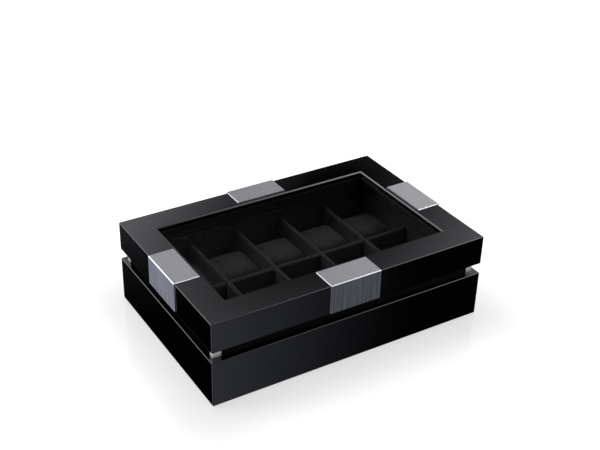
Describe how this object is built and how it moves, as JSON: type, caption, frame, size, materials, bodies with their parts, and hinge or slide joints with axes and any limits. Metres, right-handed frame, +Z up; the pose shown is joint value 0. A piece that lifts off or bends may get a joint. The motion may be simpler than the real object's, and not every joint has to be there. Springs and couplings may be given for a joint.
{
  "type": "watch box",
  "caption": "Black lacquered watch box with a hinged glass-topped lid, brushed edge plates, a recessed neck and lift-out pillows in divided compartments.",
  "frame": {"origin": "centre of the face the box rests on, on the underside of the felt", "axes": "+X along the long side to the right, +Y to the back where the lid is hinged, +Z up; the front is -Y"},
  "size_m": [0.3324, 0.2224, 0.1012],
  "materials": {
    "black_lacquer": "deep black piano lacquer, polished to a high gloss",
    "panel_board": "stained fibreboard, matte",
    "brushed_plate": "fine straight brushing with bright bevelled edges",
    "post_metal": "satin",
    "hinge_steel": "satin nickel",
    "screw_steel": "bright",
    "clear_glass": "clear float glass",
    "black_velvet": "short black velvet pile over board",
    "pillow_suede": "soft black suede cloth over a foam core",
    "neck_cloth": "matt black flocked cloth glued round a board",
    "felt": "pressed felt"
  },
  "bodies": {
    "base": {"base_felt": "felt", "bottom_panel": "panel_board", "base_front_board": "black_lacquer", "base_back_board": "black_lacquer", "base_left_board": "black_lacquer", "base_right_board": "black_lacquer", "neck_front": "neck_cloth", "neck_back": "neck_cloth", "neck_left": "neck_cloth", "neck_right": "neck_cloth", "neck_post_front_left": "post_metal", "neck_post_front_right": "post_metal", "neck_post_back_left": "post_metal", "neck_post_back_right": "post_metal", "liner_front": "black_velvet", "liner_back": "black_velvet", "liner_left": "black_velvet", "liner_right": "black_velvet", "compartment_floor": "black_velvet", "long_divider": "black_velvet", "cross_divider_1": "black_velvet", "cross_divider_2": "black_velvet", "cross_divider_3": "black_velvet", "cross_divider_4": "black_velvet", "hinge_left_base_leaf": "hinge_steel", "hinge_right_base_leaf": "hinge_steel", "hinge_left_pin": "hinge_steel", "hinge_right_pin": "hinge_steel", "hinge_screws_base": "screw_steel"},
    "lid": {"lid_front_rail": "black_lacquer", "lid_back_rail": "black_lacquer", "lid_left_rail": "black_lacquer", "lid_right_rail": "black_lacquer", "lid_plate_front": "brushed_plate", "lid_plate_back": "brushed_plate", "lid_plate_left": "brushed_plate", "lid_plate_right": "brushed_plate", "glass_pane": "clear_glass", "glass_strip_front": "black_velvet", "glass_strip_back": "black_velvet", "glass_strip_left": "black_velvet", "glass_strip_right": "black_velvet", "lid_lining_front": "black_velvet", "lid_lining_back": "black_velvet", "lid_lining_left": "black_velvet", "lid_lining_right": "black_velvet", "hinge_left_lid_leaf": "hinge_steel", "hinge_right_lid_leaf": "hinge_steel", "hinge_screws_lid": "screw_steel"},
    "pillow_front_1": {"pillow_front_1": "pillow_suede"},
    "pillow_front_2": {"pillow_front_2": "pillow_suede"},
    "pillow_front_3": {"pillow_front_3": "pillow_suede"},
    "pillow_front_4": {"pillow_front_4": "pillow_suede"},
    "pillow_front_5": {"pillow_front_5": "pillow_suede"},
    "pillow_back_1": {"pillow_back_1": "pillow_suede"},
    "pillow_back_2": {"pillow_back_2": "pillow_suede"},
    "pillow_back_3": {"pillow_back_3": "pillow_suede"},
    "pillow_back_4": {"pillow_back_4": "pillow_suede"},
    "pillow_back_5": {"pillow_back_5": "pillow_suede"}
  },
  "joints": [
    {"name": "lid_hinge", "type": "hinge", "parent": "base", "child": "lid", "pos_m": [0, 0.107, 0.06], "axis": [-1, 0, 0], "range_deg": [0, 100]},
    {"name": "pillow_front_1_lift", "type": "slide", "parent": "base", "child": "pillow_front_1", "axis": [0, 0, 1], "range_m": [0, 0.036]},
    {"name": "pillow_front_2_lift", "type": "slide", "parent": "base", "child": "pillow_front_2", "axis": [0, 0, 1], "range_m": [0, 0.036]},
    {"name": "pillow_front_3_lift", "type": "slide", "parent": "base", "child": "pillow_front_3", "axis": [0, 0, 1], "range_m": [0, 0.036]},
    {"name": "pillow_front_4_lift", "type": "slide", "parent": "base", "child": "pillow_front_4", "axis": [0, 0, 1], "range_m": [0, 0.036]},
    {"name": "pillow_front_5_lift", "type": "slide", "parent": "base", "child": "pillow_front_5", "axis": [0, 0, 1], "range_m": [0, 0.036]},
    {"name": "pillow_back_1_lift", "type": "slide", "parent": "base", "child": "pillow_back_1", "axis": [0, 0, 1], "range_m": [0, 0.036]},
    {"name": "pillow_back_2_lift", "type": "slide", "parent": "base", "child": "pillow_back_2", "axis": [0, 0, 1], "range_m": [0, 0.036]},
    {"name": "pillow_back_3_lift", "type": "slide", "parent": "base", "child": "pillow_back_3", "axis": [0, 0, 1], "range_m": [0, 0.036]},
    {"name": "pillow_back_4_lift", "type": "slide", "parent": "base", "child": "pillow_back_4", "axis": [0, 0, 1], "range_m": [0, 0.036]},
    {"name": "pillow_back_5_lift", "type": "slide", "parent": "base", "child": "pillow_back_5", "axis": [0, 0, 1], "range_m": [0, 0.036]}
  ]
}
